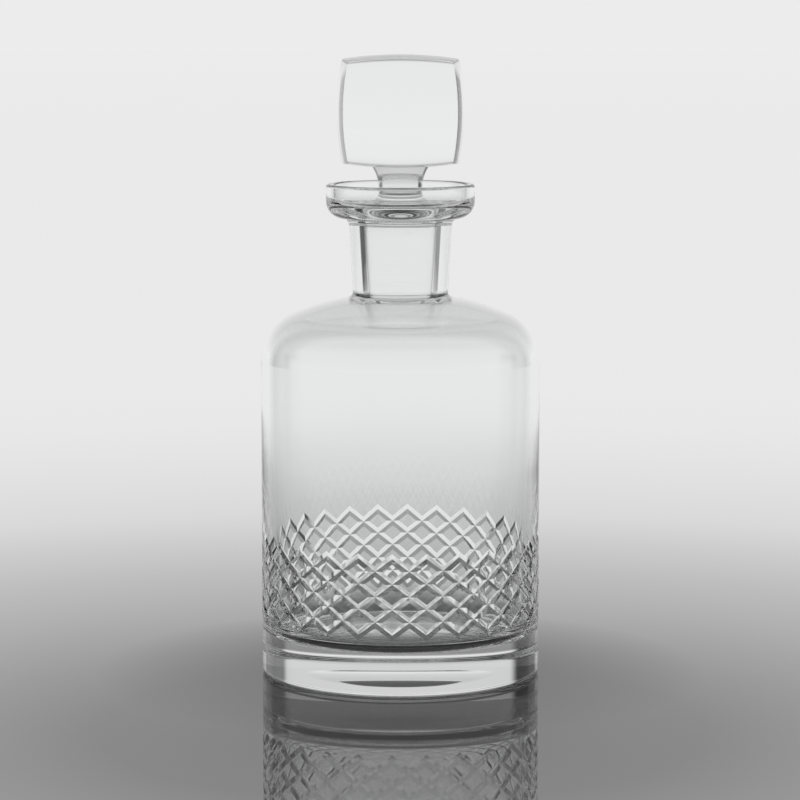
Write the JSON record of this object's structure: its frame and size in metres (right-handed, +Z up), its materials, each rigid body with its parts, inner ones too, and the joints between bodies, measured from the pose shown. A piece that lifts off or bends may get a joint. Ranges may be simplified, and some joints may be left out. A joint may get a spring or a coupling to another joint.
{
  "type": "crystal decanter with stopper",
  "caption": "Round cut-crystal decanter with a domed shoulder, cupped mouth, diamond-cut band and a lift-out square-headed ground stopper.",
  "frame": {"origin": "centre of the ring that the decanter stands on, on its turning axis", "axes": "+Z up along the turning axis, -Y towards the front, where two faces of the stopper's head are square to the X and Y axes"},
  "size_m": [0.1084, 0.1084, 0.2406],
  "materials": {
    "vessel_crystal": "clear fire-polished crystal with polished wheel cuts and a ground bore",
    "stopper_crystal": "clear polished crystal head and shank with a finely ground plug"
  },
  "bodies": {
    "decanter": {"vessel": "vessel_crystal"},
    "stopper": {"stopper": "stopper_crystal"}
  },
  "joints": [
    {"name": "stopper_lift", "type": "slide", "parent": "decanter", "child": "stopper", "axis": [0, 0, 1], "range_m": [0, 0.06]}
  ]
}
